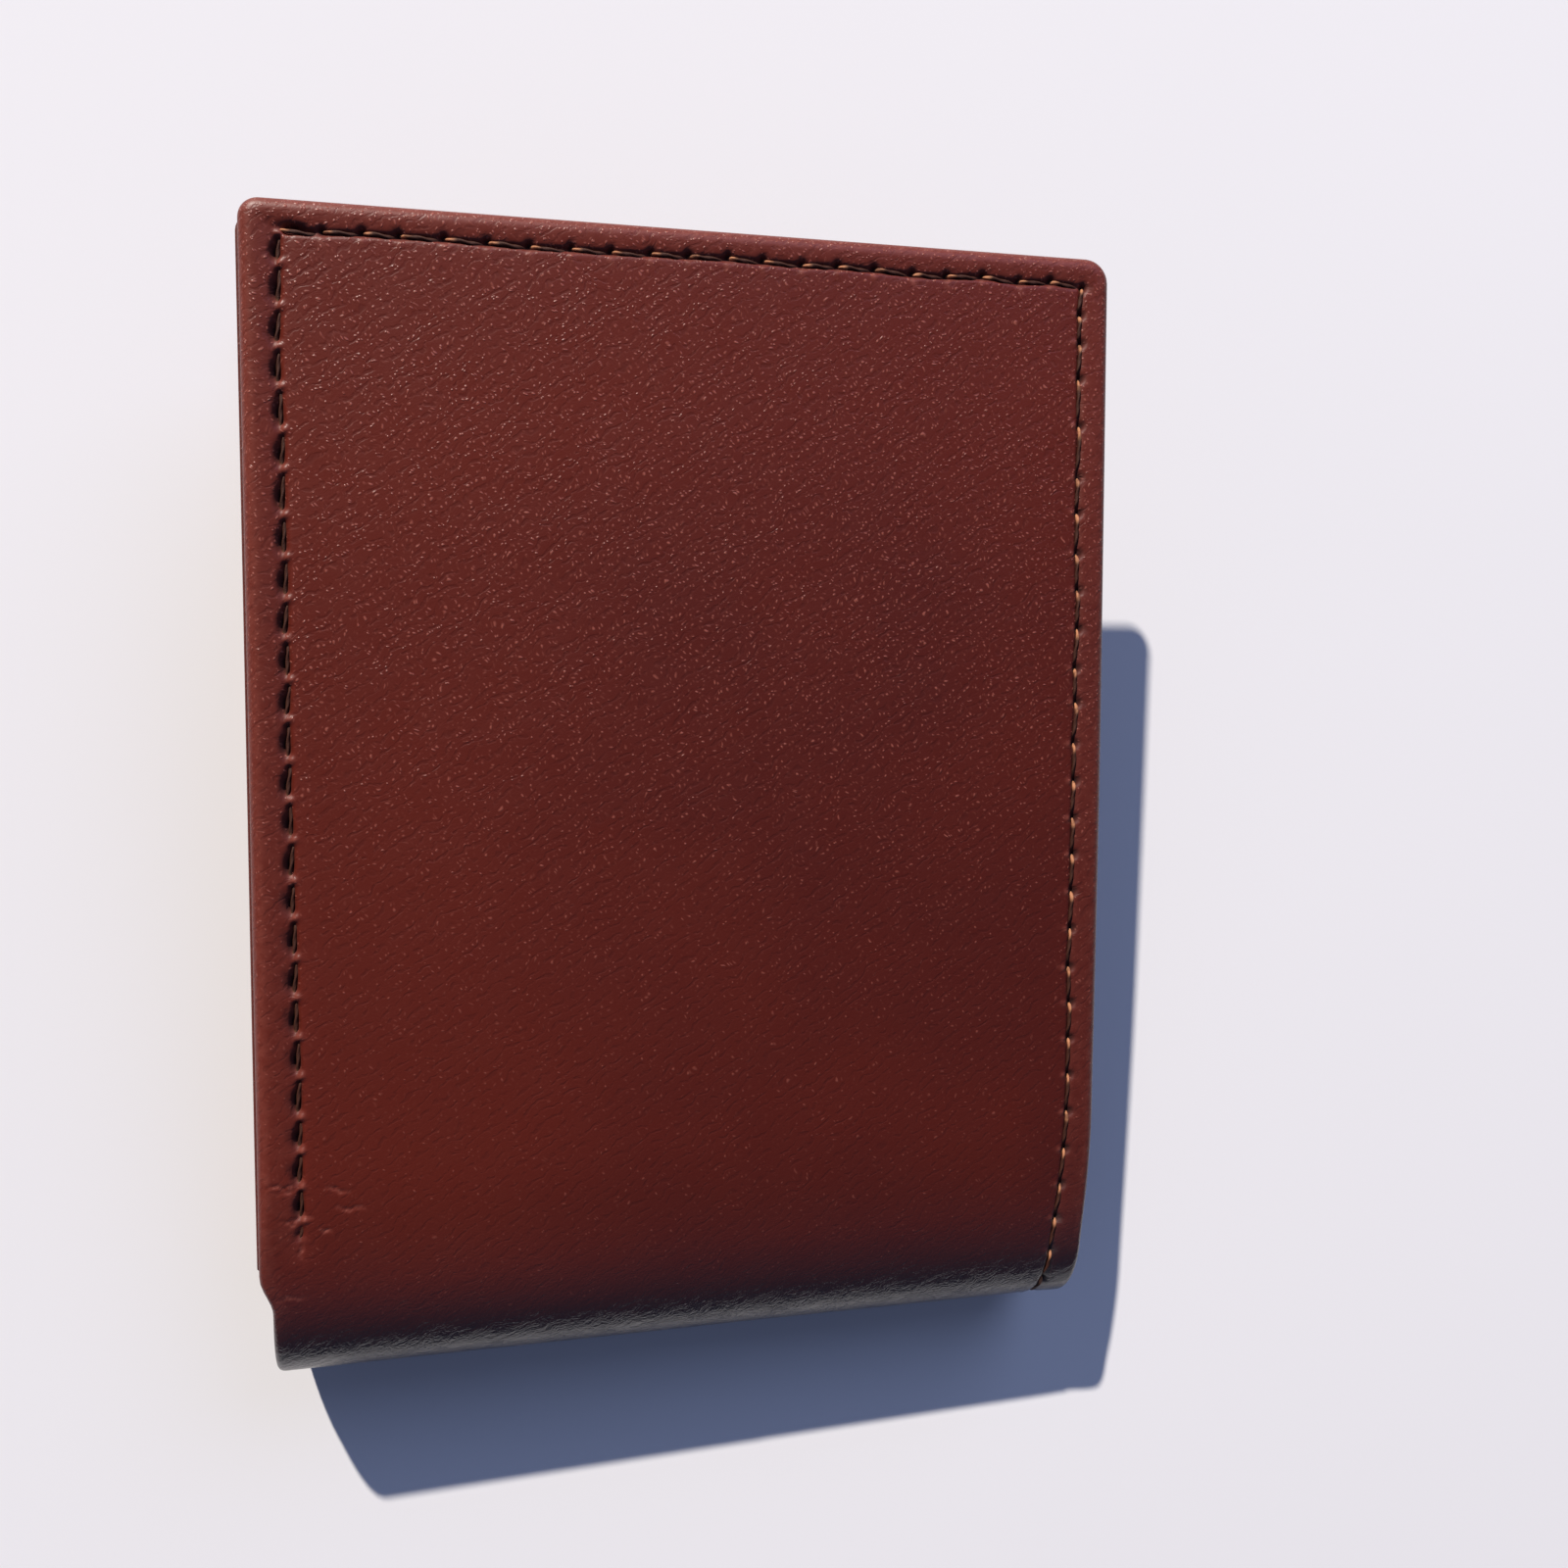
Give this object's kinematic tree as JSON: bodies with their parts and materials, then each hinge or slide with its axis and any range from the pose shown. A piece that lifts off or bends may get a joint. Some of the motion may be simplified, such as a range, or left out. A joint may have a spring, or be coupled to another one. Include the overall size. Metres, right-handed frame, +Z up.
{
  "type": "business card case",
  "caption": "Bifold leather business card case with stitched edges, card slots and a long pocket in each half.",
  "frame": {"origin": "centre of the bounding box in plan, at the height of the surface the case lies on", "axes": "+X along the fold, towards the side the pockets open on; +Y from the fold to the free edges; +Z up, from the back half to the front half"},
  "size_m": [0.088, 0.115, 0.0269],
  "materials": {
    "outer_leather": "fine pebbled grain, semi-gloss oxblood brown",
    "inside_leather": "fine grain, satin oxblood brown",
    "lining_fabric": "dark brown twill",
    "stiffener_board": "plain matt board",
    "seam_thread": "waxed dark brown thread"
  },
  "bodies": {
    "back_half": {"back_cover": "outer_leather", "back_stiffener": "stiffener_board", "back_lining": "lining_fabric", "back_divider": "lining_fabric", "back_slot_1": "inside_leather", "back_slot_2": "inside_leather", "back_card_pocket": "inside_leather", "back_outer_seam": "seam_thread", "back_pocket_seam": "seam_thread", "back_mouth_seam": "seam_thread"},
    "spine": {"spine_cover": "outer_leather", "spine_stiffener": "stiffener_board", "spine_lining": "lining_fabric", "spine_outer_seam": "seam_thread", "spine_mouth_seam": "seam_thread"},
    "front_half": {"front_cover": "outer_leather", "front_stiffener": "stiffener_board", "front_lining": "lining_fabric", "front_divider": "lining_fabric", "front_slot_1": "inside_leather", "front_slot_2": "inside_leather", "front_slot_3": "inside_leather", "front_facing": "inside_leather", "front_outer_seam": "seam_thread", "front_pocket_seam": "seam_thread", "front_mouth_seam": "seam_thread"}
  },
  "joints": [
    {"name": "back_fold", "type": "hinge", "parent": "back_half", "child": "spine", "pos_m": [0, -0.05536, 0.00214], "axis": [1, 0, 0], "range_deg": [-3.6, 86.7]},
    {"name": "front_fold", "type": "hinge", "parent": "spine", "child": "front_half", "pos_m": [0, -0.05592, 0.01183], "axis": [1, 0, 0], "range_deg": [-3.6, 86.7]}
  ],
  "couplings": [
    {"joint": "front_fold", "follows": "back_fold", "ratio": 1}
  ]
}
